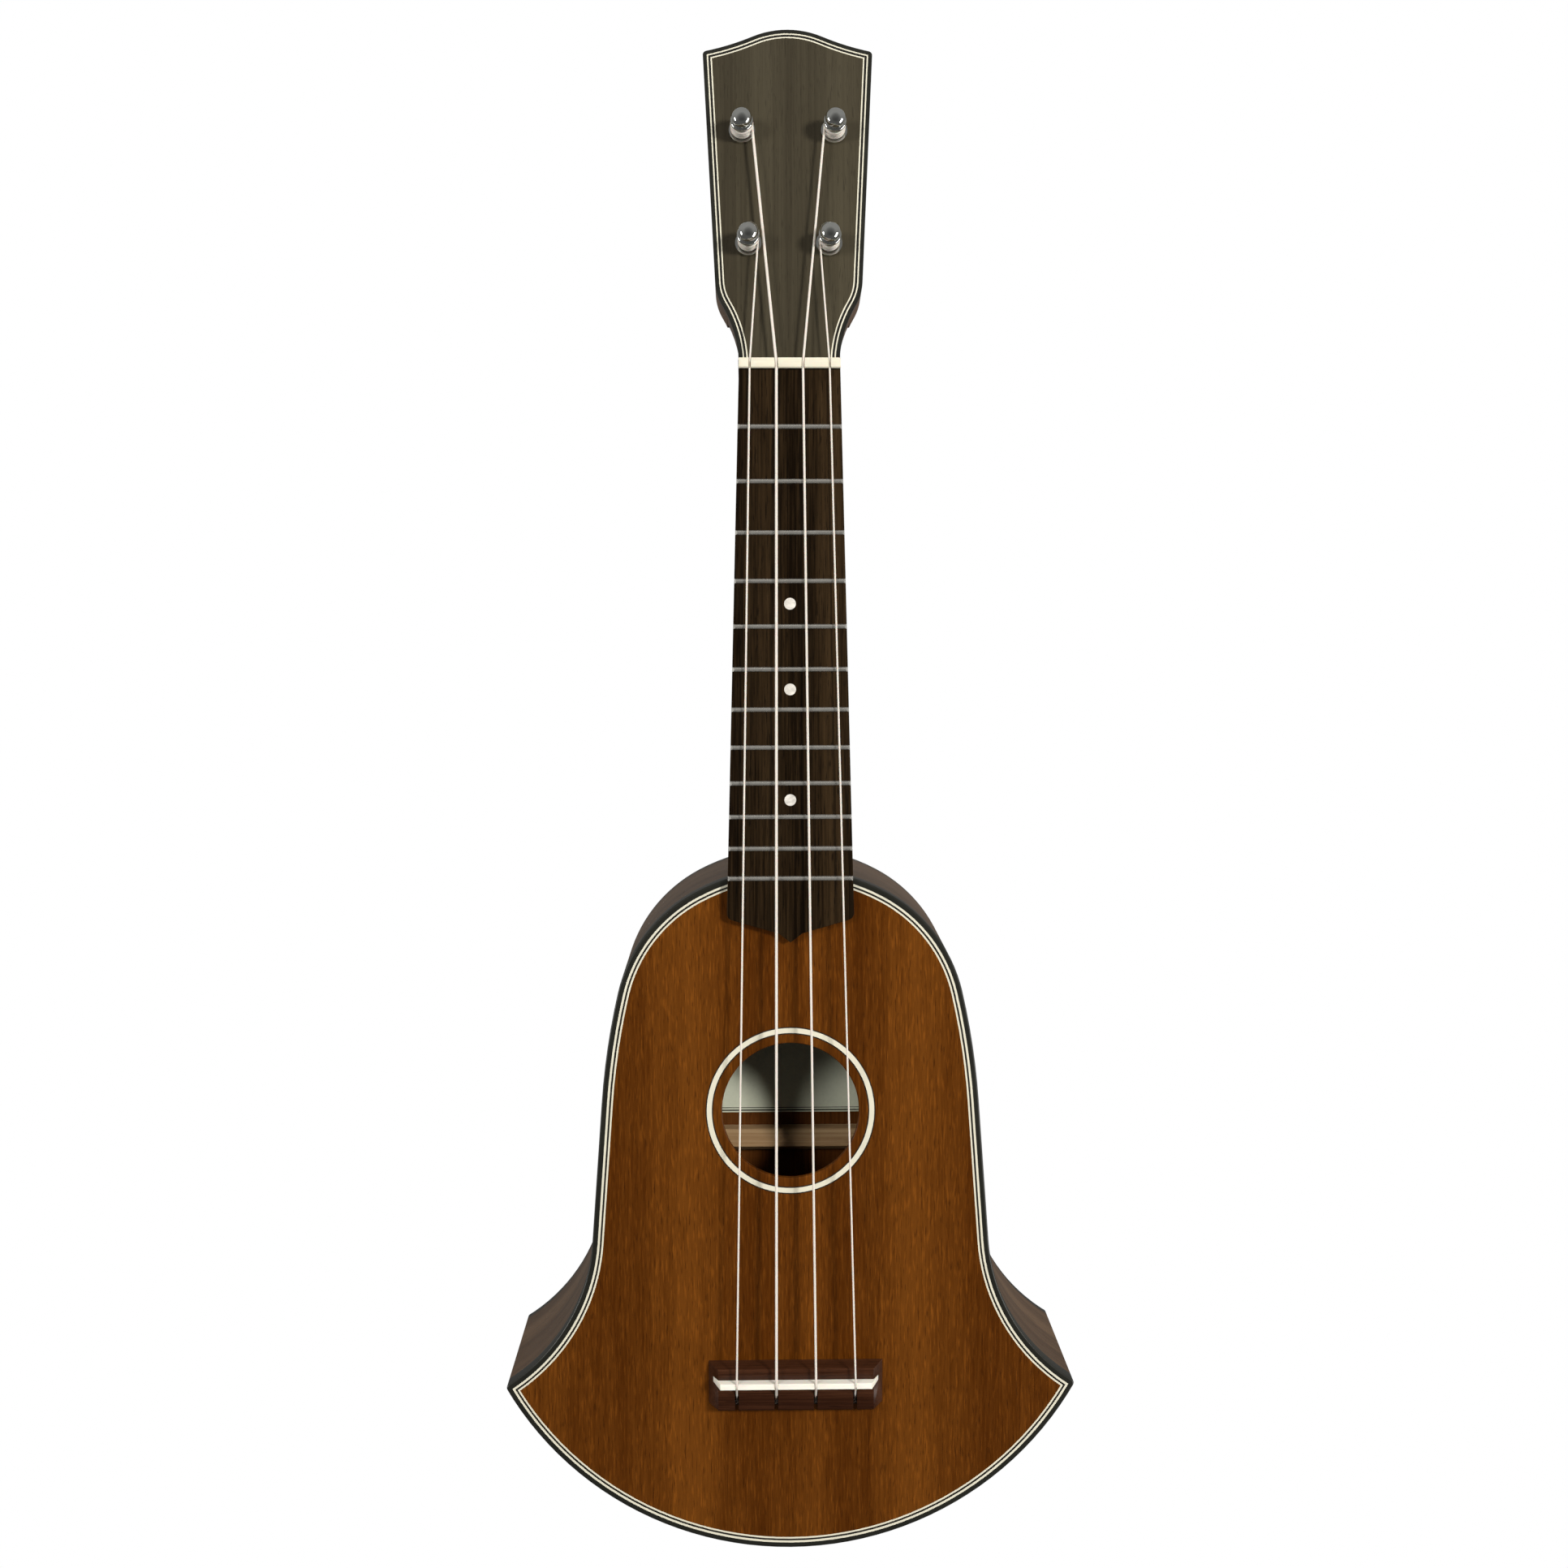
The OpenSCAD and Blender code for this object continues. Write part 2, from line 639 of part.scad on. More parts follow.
module back_brace(at) color(pale_wood) difference() {
    intersection() {
        slab(0, 100) body_shape(inner_inset);
        back_frame() translate([0, -back_t, -at]) mirror([0, 1, 0]) gable(back_brace_w, back_brace_h, far);
    }
    slab(0, 100) corner_block_areas();
}
module upper_back_brace() back_brace(back_brace_at[0]);
module middle_back_brace() back_brace(back_brace_at[1]);
module lower_back_brace() back_brace(back_brace_at[2]);

module label() color(cream) back_frame()
    translate([-label_w / 2, -back_t - label_t, label_low_z - top_z]) cube([label_w, label_t, label_h]);

// ---- Edge trim ----
module top_binding() color(binding_dark) slab(0, binding_h) edge_ring(side_t);
module top_purfling_white() color(cream) slab(0, top_t) {
    body_ring(side_t, side_t + white_line_w);
    body_ring(plate_inset - cream_line_w, plate_inset);
}
module top_purfling_black() color(black) slab(0, top_t)
    body_ring(side_t + white_line_w, plate_inset - cream_line_w);
module back_binding() color(binding_dark) intersection() {
    slab(0, 100) edge_ring(side_t);
    back_layer(-back_binding_h, 0);
}
module rosette_band(d_in, w) slab(0, rosette_t) translate([0, -hole_at]) difference() {
    circle(d = d_in + 2 * w);
    circle(d = d_in);
}
module rosette_ring() color(cream) rosette_band(rosette_d, rosette_w);
module rosette_black_rings() color(black) {
    rosette_band(rosette_d - 2 * rosette_line_w, rosette_line_w);
    rosette_band(rosette_d + 2 * rosette_w, rosette_line_w);
}

// ---- Neck ----
heel_top = body_join - heel_len;
heel_depth = depth_neck + 5;
heel_steps = 10;
throat_steps = 5;
throat_len = 16;
function shaft_depth(z) = neck_t_nut + (neck_t_heel - neck_t_nut) * min(1, -z / heel_top);
function neck_ring(z, depth) = [for (q = neck_section(board_half(z), depth, 2)) [q.x, q.y, z]];
function throat_ring(s) = let (share = s / throat_len,
    power = 2 + 8 * share, depth = neck_t_nut + (headplate_t + head_t - 0.2 - neck_t_nut) * share)
    [for (q = neck_section(throat_half(s), depth, power)) from_head([q.x, q.y, s])];
module neck_solid() skin(concat(
    [neck_ring(top_z - 6, heel_depth)],
    [for (i = [heel_steps:-1:0]) let (a = 90 * i / heel_steps)
        neck_ring(top_z + heel_len - (heel_len - heel_cap_len) * sin(a),
            neck_t_heel + (heel_depth - neck_t_heel) * (1 - cos(a)))],
    [for (z = [-100, -60, -20, -4]) neck_ring(z, shaft_depth(z))],
    [for (i = [1:throat_steps]) throat_ring(throat_len * i / throat_steps)]));

module neck() color(dark_wood) difference() {
    union() {
        neck_solid();
        head_frame() slab(headplate_t, headplate_t + head_t) intersection() {
            head_soft();
            translate([-far / 2, throat_len]) square([far, far]);
        }
    }
    head_frame() slab(-20, headplate_t) translate([-far / 2, 0]) square([far, far]);
    slab(0, 100) body_shape();
    behind(-heel_cap_t);
    on_every_peg() translate([0, 0, rear_face - 1]) cylinder(d = peg_bore_d, h = head_t + 4);
    dowel_holes(0);
}

module neck_dowels() color(pale_wood) dowel_holes(0);

module heel_cap() color(binding_dark) difference() {
    intersection() {
        neck_solid();
        back_layer(-heel_cap_t, 0);
    }
    slab(0, 100) body_shape();
}

module board_shape() polygon(concat(
    [[-board_half(0), 0], [board_half(0), 0]],
    arc([board_half(board_corner_z) - board_corner_r, board_corner_z + board_corner_r],
        board_corner_r, 0, -75, 5),
    [[tongue_w / 2, board_middle_z], [0, board_middle_z - tongue_len], [-tongue_w / 2, board_middle_z]],
    arc([board_corner_r - board_half(board_corner_z), board_corner_z + board_corner_r],
        board_corner_r, 255, 180, 5)));

module fretboard() color(ebony) difference() {
    slab(-board_t, 0) board_shape();
    for (n = [1:fret_count]) translate([-far / 2, -board_t - 1, -fret_z(n) - tang_w / 2])
        cube([far, tang_h + 1, tang_w]);
    dot_discs();
}

// A fret's crown is half an ellipse on a straight tang, with both ends bevelled
module fret_profile() polygon(concat(
    [for (a = [0:20:180]) [fret_w / 2 * cos(a), fret_h * sin(a)]],
    [[-tang_w / 2, 0], [-tang_w / 2, -tang_h], [tang_w / 2, -tang_h], [tang_w / 2, 0]]));
module fret(n) {
    half = board_half(-fret_z(n));
    intersection() {
        translate([-far / 2, -board_t, -fret_z(n)]) rotate([90, 0, 90]) rotate(90)
            linear_extrude(far) fret_profile();
        translate([0, 0, -fret_z(n) - fret_w]) linear_extrude(2 * fret_w) polygon([
            [-half, tang_h - board_t], [-half, -board_t], [bevel_w - half, -board_t - fret_h],
            [half - bevel_w, -board_t - fret_h], [half, -board_t], [half, tang_h - board_t]]);
    }
}
module frets() color(nickel) for (n = [1:fret_count]) fret(n);

module dot_discs() for (n = dot_frets)
    slab(-board_t, dot_t - board_t) translate([0, -(fret_z(n) + fret_z(n - 1)) / 2]) circle(d = dot_d);
module position_dots() color(cream) dot_discs();

// A string and the open channel that it lies in, from p to q
module along(p, q) {
    v = q - p;
    translate(p) rotate([-asin(v.y / norm(v)), atan2(v.x, v.z), 0]) children();
}
module channel(p, q, w) along(p, q) translate([0, 0, -3]) {
    cylinder(d = w, h = norm(q - p) + 6);
    translate([-w / 2, -8, 0]) cube([w, 8, norm(q - p) + 6]);
}
module nut() color(cream) difference() {
    rotate([90, 0, 90]) translate([0, 0, -board_half(0)]) linear_extrude(2 * board_half(0))
        polygon([[0, 0], [-nut_h + 0.4, 0], [-nut_h, 0.4], [-nut_h, 0.5 * nut_t],
            [-nut_h + 0.9, nut_t], [0, nut_t]]);
    for (i = [0:3]) {
        w = gauges[i] + 2 * slot_gap;
        seat = string_seat(i);
        toward_saddle = unit(saddle_top(i) - seat);
        toward_peg = unit(string_end(i) - seat);
        channel(seat, seat + 4 * toward_peg, w);
        channel(seat + 4 * toward_saddle, seat, w);
    }
}

// ---- Headstock trim ----
module head_trim(d0, d1) head_frame() intersection() {
    slab(0, headplate_t) head_ring(d0, d1);
    slab(0, headplate_t) head_soft();
}
module headplate() color(dark_wood) difference() {
    head_frame() slab(0, headplate_t) head_shape(head_binding_w + head_lines_w);
    on_every_peg() translate([0, 0, -headplate_t - 1]) cylinder(d = peg_bore_d, h = headplate_t + 2);
}
module headstock_binding() color(binding_dark) head_trim(0, head_binding_w);
module headstock_purfling_white() color(cream) {
    head_trim(head_binding_w, head_binding_w + head_line_w);
    head_trim(head_binding_w + head_lines_w - head_line_w, head_binding_w + head_lines_w);
}
module headstock_purfling_black() color(black)
    head_trim(head_binding_w + head_line_w, head_binding_w + head_line_w + head_black_w);

// ---- Bridge ----
saddle_ridge = bridge_w - 2 * bridge_end - 1.6;
function end_x(h) = bridge_w / 2 - bridge_end * h / bridge_h;
module saddle_profile() {
    foot = bridge_h - saddle_depth;
    polygon([[-end_x(foot) + 0.3, -foot], [-saddle_ridge / 2, -saddle_h],
        [saddle_ridge / 2, -saddle_h], [end_x(foot) - 0.3, -foot]]);
}
module bridge() color(dark_wood) difference() {
    intersection() {
        translate([bridge_x, 0, bridge_z - bridge_len]) linear_extrude(bridge_len)
            polygon([[-end_x(0), 0], [-end_x(bridge_h), -bridge_h],
                [end_x(bridge_h), -bridge_h], [end_x(0), 0]]);
        translate([bridge_x - bridge_w / 2, 0, 0]) rotate([90, 0, 90]) linear_extrude(bridge_w)
            polygon([[0, bridge_z], [-bridge_h, bridge_z - bridge_front_lean],
                [-bridge_h, bridge_z - bridge_len + 0.8], [-bridge_h + 0.8, bridge_z - bridge_len],
                [0, bridge_z - bridge_len]]);
    }
    translate([bridge_x - far / 2, -bridge_h - 1, saddle_z - saddle_t])
        cube([far, saddle_depth + 1, saddle_t]);
    for (i = [0:3]) {
        translate([saddle_x(i) - slot_w / 2, -bridge_h - 1, bridge_z - bridge_len - 1])
            cube([slot_w, bridge_h + 1 + knot_y, bridge_len + 1 - saddle_at - slot_from]);
        translate([saddle_x(i), knot_y, bridge_z - bridge_len - 1])
            cylinder(d = pocket_d, h = pocket_len + 1);
    }
}
module saddle() color(cream) difference() {
    translate([bridge_x, 0, saddle_z - saddle_t]) linear_extrude(saddle_t) saddle_profile();
    for (i = [0:3]) {
        top = saddle_top(i);
        channel(top, top + 4 * unit(knot_at(i) - top), gauges[i] + 2 * slot_gap);
        channel(top + 4 * unit(string_seat(i) - top), top, gauges[i] + 2 * slot_gap);
    }
}

// ---- Strings ----
module string_piece(i) color(nylon) {
    skin(tube_rings(string_route(i), gauges[i] / 2, 10));
    translate(knot_at(i)) sphere(d = knot_d, $fn = 24);
}
module g_string() string_piece(0);
module c_string() string_piece(1);
module e_string() string_piece(2);
module a_string() string_piece(3);

// ---- Friction pegs ----
cap_r = cap_d / 2;
module post_piece(i) color(chrome) peg_frame(i) difference() {
    rotate_extrude() polygon(concat(
        [[0, button_end + 2], [button_bore_d / 2, button_end + 2], [button_bore_d / 2, button_front],
            [post_d / 2, button_front], [post_d / 2, collar_at], [collar_d / 2, collar_at],
            [collar_d / 2, collar_at + collar_len - 0.4], [collar_d / 2 - 0.4, collar_at + collar_len],
            [cap_neck_d / 2, collar_at + collar_len], [cap_neck_d / 2, post_h - cap_len]],
        [for (a = [-46:8:82]) [cap_r * cos(a), post_h - 0.85 * cap_r + 0.85 * cap_r * sin(a)]],
        [[0, post_h]]));
    translate([0, 0, button_end]) cylinder(d = screw_d + 2 * slot_gap, h = screw_len + 1);
}
module g_post() post_piece(0);
module c_post() post_piece(1);
module e_post() post_piece(2);
module a_post() post_piece(3);

// Turns of string that lie on the post, apart from the one where the string arrives
module turns(i, first, count) {
    d = gauges[i];
    translate([post_d / 2 + slot_gap, first - d / 2]) {
        translate([0, d / 2]) square([d / 2, (count - 1) * d + eps]);
        for (k = [0:count - 1]) translate([d / 2, (k + 0.5) * d]) circle(d = d + eps, $fn = 24);
    }
}
module winding_piece(i) color(nylon) peg_frame(i) {
    d = gauges[i];
    low = min(turns_below, floor((string_level - flange_t - turn_gap - d / 2) / d));
    high = min(turns_above, floor((collar_at - string_level - turn_gap - d / 2) / d));
    rotate_extrude() turns(i, string_level - turn_gap - low * d, low);
    rotate_extrude() turns(i, string_level + turn_gap + d, high);
}
module g_winding() winding_piece(0);
module c_winding() winding_piece(1);
module e_winding() winding_piece(2);
module a_winding() winding_piece(3);

// A button is a turned knob with two flats
module button_piece(i) color(cream) peg_frame(i) difference() {
    intersection() {
        rotate_extrude() polygon([
            [0, button_front], [boss_d / 2 - 0.5, button_front], [boss_d / 2, button_front - 0.5],
            [boss_d / 2, button_front - boss_len], [boss_d / 2 + 1, button_front - boss_len - 1.2],
            [0.42 * button_d, button_front - boss_len - 2.6],
            [0.49 * button_d, button_front - boss_len - 4.6],
            [button_d / 2, button_front - boss_len - 6.4], [0.48 * button_d, button_front - boss_len - 8.4],
            [0.4 * button_d, button_end + 0.5], [0.32 * button_d, button_end], [0, button_end]]);
        union() {
            translate([-button_d, -button_t / 2, button_end - 1])
                cube([2 * button_d, button_t, button_len + 2]);
            translate([0, 0, button_front - boss_len]) cylinder(d = boss_d, h = boss_len + 1);
        }
    }
    translate([0, 0, button_end - 1]) cylinder(d = screw_d + 2 * slot_gap, h = 5);
    translate([0, 0, button_end + 2 - slot_gap]) cylinder(d = button_bore_d + 2 * slot_gap, h = button_len);
}
module g_button() button_piece(0);
module c_button() button_piece(1);
module e_button() button_piece(2);
module a_button() button_piece(3);

module screw_piece(i) color(chrome) peg_frame(i) difference() {
    union() {
        translate([0, 0, button_end - 0.6]) rotate([180, 0, 0])
            cylinder(d1 = screw_head_d, d2 = 3, h = screw_head_t - 0.6);
        translate([0, 0, button_end - 0.6]) cylinder(d = screw_head_d, h = 0.6);
        translate([0, 0, button_end - 0.3]) cylinder(d = screw_d, h = screw_len);
    }
    for (a = [0, 90]) rotate(a) translate([-1.2, -0.3, button_end - screw_head_t - 1]) cube([2.4, 0.6, 1.8]);
}
module g_button_screw() screw_piece(0);
module c_button_screw() screw_piece(1);
module e_button_screw() screw_piece(2);
module a_button_screw() screw_piece(3);

running_d = post_d + 2 * post_gap;
module front_ferrules() color(chrome) on_every_peg() {
    ring(ferrule_d, running_d, 0, flange_t);
    ring(peg_bore_d, running_d, -sleeve_len, eps);
}
module rear_bushings() color(chrome) on_every_peg() {
    ring(bushing_d, running_d, rear_face - bushing_t, rear_face);
    ring(peg_bore_d, running_d, rear_face - eps, rear_face + bushing_sleeve);
}
module friction_washers() color(black) on_every_peg()
    ring(washer_d, running_d, rear_stack, rear_stack + washer_t);

soundboard();
back_plate();
left_side();
right_side();
bottom_side();
neck_block();
tail_block();
corner_blocks();
top_linings();
back_linings();
upper_top_brace();
lower_top_brace();
fan_braces();
bridge_plate();
upper_back_brace();
middle_back_brace();
lower_back_brace();
top_binding();
top_purfling_white();
top_purfling_black();
back_binding();
rosette_ring();
rosette_black_rings();
label();
neck();
neck_dowels();
heel_cap();
fretboard();
frets();
position_dots();
nut();
headplate();
headstock_binding();
headstock_purfling_white();
headstock_purfling_black();
bridge();
saddle();
g_string();
c_string();
e_string();
a_string();
g_post();
c_post();
e_post();
a_post();
g_winding();
c_winding();
e_winding();
a_winding();
g_button();
c_button();
e_button();
a_button();
g_button_screw();
c_button_screw();
e_button_screw();
a_button_screw();
front_ferrules();
rear_bushings();
friction_washers();
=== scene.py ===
import json
import math

import bmesh
import bpy
from mathutils import Matrix, Vector


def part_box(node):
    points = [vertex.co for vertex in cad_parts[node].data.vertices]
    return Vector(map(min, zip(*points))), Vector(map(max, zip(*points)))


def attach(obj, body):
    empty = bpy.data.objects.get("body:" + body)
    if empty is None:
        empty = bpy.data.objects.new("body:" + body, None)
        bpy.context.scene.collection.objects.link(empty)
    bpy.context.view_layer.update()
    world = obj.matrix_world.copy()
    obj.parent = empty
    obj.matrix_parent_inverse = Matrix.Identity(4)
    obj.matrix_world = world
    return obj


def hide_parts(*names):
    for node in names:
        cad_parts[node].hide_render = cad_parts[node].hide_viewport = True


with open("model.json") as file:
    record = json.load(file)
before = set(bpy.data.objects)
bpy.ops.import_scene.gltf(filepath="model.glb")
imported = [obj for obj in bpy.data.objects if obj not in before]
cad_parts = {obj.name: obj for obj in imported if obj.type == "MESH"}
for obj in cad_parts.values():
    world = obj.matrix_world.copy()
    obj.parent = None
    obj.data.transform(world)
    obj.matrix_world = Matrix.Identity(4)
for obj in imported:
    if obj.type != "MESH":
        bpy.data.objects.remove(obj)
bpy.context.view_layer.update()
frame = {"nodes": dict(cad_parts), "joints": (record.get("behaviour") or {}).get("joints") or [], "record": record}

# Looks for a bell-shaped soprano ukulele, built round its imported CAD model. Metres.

NODES = frame["nodes"]
MM = 0.001
STRINGS = ("g", "c", "e", "a")
PEG_JOINTS = {j["name"][0]: j for j in frame["joints"]}
BODY = "instrument"


# ---- Camera, light and stage ----
# The camera stands in front of the fingerboard's middle, tilted a little, with its lens shifted down.
CAMERA_AT = Vector((-12.7, -621.9, -71.1)) * MM
CAMERA_PITCH = math.radians(3.534)
CAMERA_YAW = math.radians(0.984)
CAMERA_ROLL = math.radians(-0.108)
LENS = 41.795
SENSOR = 36.0
SHIFT_Y = -0.0583

# Strength of the room's light from below and from above, and the share of it that comes from in front
ROOM_LOW = 0.09
ROOM_HIGH = 0.26
ROOM_FRONT = 0.45
ROOM_COLOUR = (1.0, 0.99, 0.95, 1)
SHELL_R = 6.0
FLOOR_R = 5.0
FLOOR_Z = -0.75

# Soft lights, all aimed at one point: place, width and height, power in watts, colour, and whether the
# object mirrors them
LIGHT_AIM = Vector((0, 0, -0.15))
LAMP_WHITE = (1.0, 0.98, 0.95)
PANEL_WHITE = (1.0, 1.0, 0.97)
LIGHTS = {
    "right_key": ((0.88, -1.40, 0.34), (0.24, 0.24), 28, LAMP_WHITE, False),
    "left_key": ((-0.88, -1.40, 0.32), (0.34, 0.34), 13, LAMP_WHITE, False),
    "right_panel": ((1.15, -0.25, -0.50), (0.50, 0.95), 7, PANEL_WHITE, True),
    "left_panel": ((-1.3, -0.20, -0.20), (0.30, 0.55), 5, PANEL_WHITE, True),
    "top": ((0.0, -0.45, 1.25), (0.70, 0.40), 3.5, LAMP_WHITE, False),
    "back_high": ((0.25, 1.55, 0.20), (0.60, 0.60), 22, LAMP_WHITE, False),
    "back_low": ((-0.30, 1.50, -0.35), (0.60, 0.60), 10, LAMP_WHITE, False),
}


def make_camera():
    data = bpy.data.cameras.new("camera")
    data.lens, data.sensor_width, data.shift_y = LENS, SENSOR, SHIFT_Y
    data.clip_start, data.clip_end = 0.05, 20.0
    camera = bpy.data.objects.new("camera", data)
    bpy.context.scene.collection.objects.link(camera)
    turn = (Matrix.Rotation(CAMERA_ROLL, 3, "Y") @ Matrix.Rotation(CAMERA_PITCH, 3, "X")
            @ Matrix.Rotation(CAMERA_YAW, 3, "Z"))
    right, forward, up = turn[0], turn[1], turn[2]
    facing = Matrix((right, up, -forward)).transposed().to_4x4()
    camera.matrix_world = Matrix.Translation(CAMERA_AT) @ facing
    bpy.context.scene.camera = camera


def area_light(name, at, size, power, colour, mirrored):
    data = bpy.data.lights.new(name, "AREA")
    data.shape, data.energy, data.color = "RECTANGLE", power, colour
    data.size, data.size_y = size
    light = bpy.data.objects.new(name, data)
    bpy.context.scene.collection.objects.link(light)
    light.location = at
    light.rotation_mode = "QUATERNION"
    light.rotation_quaternion = (LIGHT_AIM - Vector(at)).to_track_quat("-Z", "Y")
    light.visible_glossy = mirrored
    light.visible_camera = False


def make_stage():
    """White studio: a glowing shell and floor that only the camera sees, and a grey room that lights."""
    make_room()
    white = bpy.data.materials.new("white_studio")
    white.use_nodes = True
    white.node_tree.nodes.clear()
    glow = white.node_tree.nodes.new("ShaderNodeEmission")
    glow.inputs["Color"].default_value = (1, 1, 1, 1)
    glow.inputs["Strength"].default_value = 1.0
    out = white.node_tree.nodes.new("ShaderNodeOutputMaterial")
    white.node_tree.links.new(glow.outputs[0], out.inputs["Surface"])
    for name, make in (("backdrop", make_shell), ("floor", make_floor)):
        obj = make(name)
        obj.data.materials.append(white)
        for ray in ("diffuse", "glossy", "transmission", "volume_scatter", "shadow"):
            setattr(obj, f"visible_{ray}", False)


def make_room():
    """A world that is brighter above than below, and dimmer in front."""
    world = bpy.data.worlds.new("studio")
    bpy.context.scene.world = world
    world.use_nodes = True
    nodes, links = world.node_tree.nodes, world.node_tree.links
    towards = nodes.new("ShaderNodeSeparateXYZ")
    links.new(nodes.new("ShaderNodeTexCoord").outputs["Generated"], towards.inputs[0])
    both = nodes.new("ShaderNodeMath")
    both.operation = "MULTIPLY"
    slopes = (("Z", -0.7, 0.6, ROOM_LOW, ROOM_HIGH), ("Y", -1.0, -0.55, ROOM_FRONT, 1.0))
    for socket, (axis, *limits) in zip(both.inputs, slopes):
        slope = nodes.new("ShaderNodeMapRange")
        slope.interpolation_type = "SMOOTHSTEP"
        for i, value in enumerate(limits, 1):
            slope.inputs[i].default_value = value
        links.new(towards.outputs[axis], slope.inputs[0])
        links.new(slope.outputs[0], socket)
    sky = nodes["Background"]
    sky.inputs["Color"].default_value = ROOM_COLOUR
    links.new(both.outputs[0], sky.inputs["Strength"])


def make_shell(name):
    bm = bmesh.new()
    bmesh.ops.create_uvsphere(bm, u_segments=48, v_segments=24, radius=SHELL_R)
    return mesh_object(name, bm)


def make_floor(name):
    bm = bmesh.new()
    bmesh.ops.create_circle(bm, cap_ends=True, segments=96, radius=FLOOR_R)
    bmesh.ops.translate(bm, verts=bm.verts, vec=(0, 0, FLOOR_Z))
    return mesh_object(name, bm)


# ---- Mesh helpers ----
def mesh_object(name, bm):
    mesh = bpy.data.meshes.new(name)
    bm.to_mesh(mesh)
    bm.free()
    obj = bpy.data.objects.new(name, mesh)
    bpy.context.scene.collection.objects.link(obj)
    return obj


def smooth(mesh, angle=35):
    mesh.shade_smooth()
    mesh.set_sharp_from_angle(angle=math.radians(angle))


def piece(name, bm, material, body=BODY, instead_of=(), angle=35):
    """A finished piece of the object: shaded, painted, riding its body."""
    bmesh.ops.recalc_face_normals(bm, faces=bm.faces)
    obj = mesh_object(name, bm)
    smooth(obj.data, angle)
    obj.data.materials.append(material)
    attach(obj, body)
    if instead_of:
        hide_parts(*instead_of)
    return obj


def tube(bm, points, radius, sides):
    """A round tube along the points, with no twist and with flat ends."""
    last = len(points) - 1
    side = None
    rings = []
    for i, p in enumerate(points):
        tangent = (points[min(i + 1, last)] - points[max(i - 1, 0)]).normalized()
        if side is None:
            side = tangent.orthogonal().normalized()
        side = (side - tangent * side.dot(tangent)).normalized()
        up = tangent.cross(side)
        rings.append([bm.verts.new(p + radius * (math.cos(a) * side + math.sin(a) * up))
                      for a in (2 * math.pi * k / sides for k in range(sides))])
    for a, b in zip(rings, rings[1:]):
        for k in range(sides):
            m = (k + 1) % sides
            bm.faces.new((a[k], a[m], b[m], b[k]))
    bm.faces.new(reversed(rings[0]))
    bm.faces.new(rings[-1])


def lathe(bm, profile, place, segments):
    """Turns (radius, height) points round Z, then puts the shape at the matrix `place`."""
    rings = []
    for r, h in profile:
        if r < 1e-7:
            rings.append([bm.verts.new(place @ Vector((0, 0, h)))])
        else:
            rings.append([bm.verts.new(place @ Vector((r * math.cos(a), r * math.sin(a), h)))
                          for a in (2 * math.pi * k / segments for k in range(segments))])
    for a, b in zip(rings, rings[1:]):
        for k in range(segments):
            m = (k + 1) % segments
            corners = [a[k % len(a)], a[m % len(a)], b[m % len(b)], b[k % len(b)]]
            unique = list(dict.fromkeys(corners))
            if len(unique) > 2:
                bm.faces.new(unique)


def welded(node):
    """The CAD node's mesh with its doubled vertices joined and its flat faces whole."""
    bm = bmesh.new()
    bm.from_mesh(NODES[node].data)
    bmesh.ops.remove_doubles(bm, verts=bm.verts, dist=1e-6)
    bmesh.ops.dissolve_limit(bm, angle_limit=math.radians(0.3), verts=bm.verts, edges=bm.edges)
    return bm


def bevel(bm, edges, width, segments):
    bmesh.ops.bevel(bm, geom=edges, offset=width, segments=segments, profile=0.5, affect="EDGES",
                    clamp_overlap=True)


def softened(node, material, width, chosen=lambda edge: True, segments=3, body=BODY):
    """A copy of a CAD node with its chosen sharp edges rounded, in place of the node."""
    bm = welded(node)
    bevel(bm, [e for e in bm.edges if len(e.link_faces) == 2
               and e.calc_face_angle() > math.radians(30) and chosen(e)], width, segments)
    piece(f"{node}_finished", bm, material, body, (node,))


def slot_of(node):
    return next(s["material_slot"] for s in frame["record"]["subparts"] if s["node"] == node)


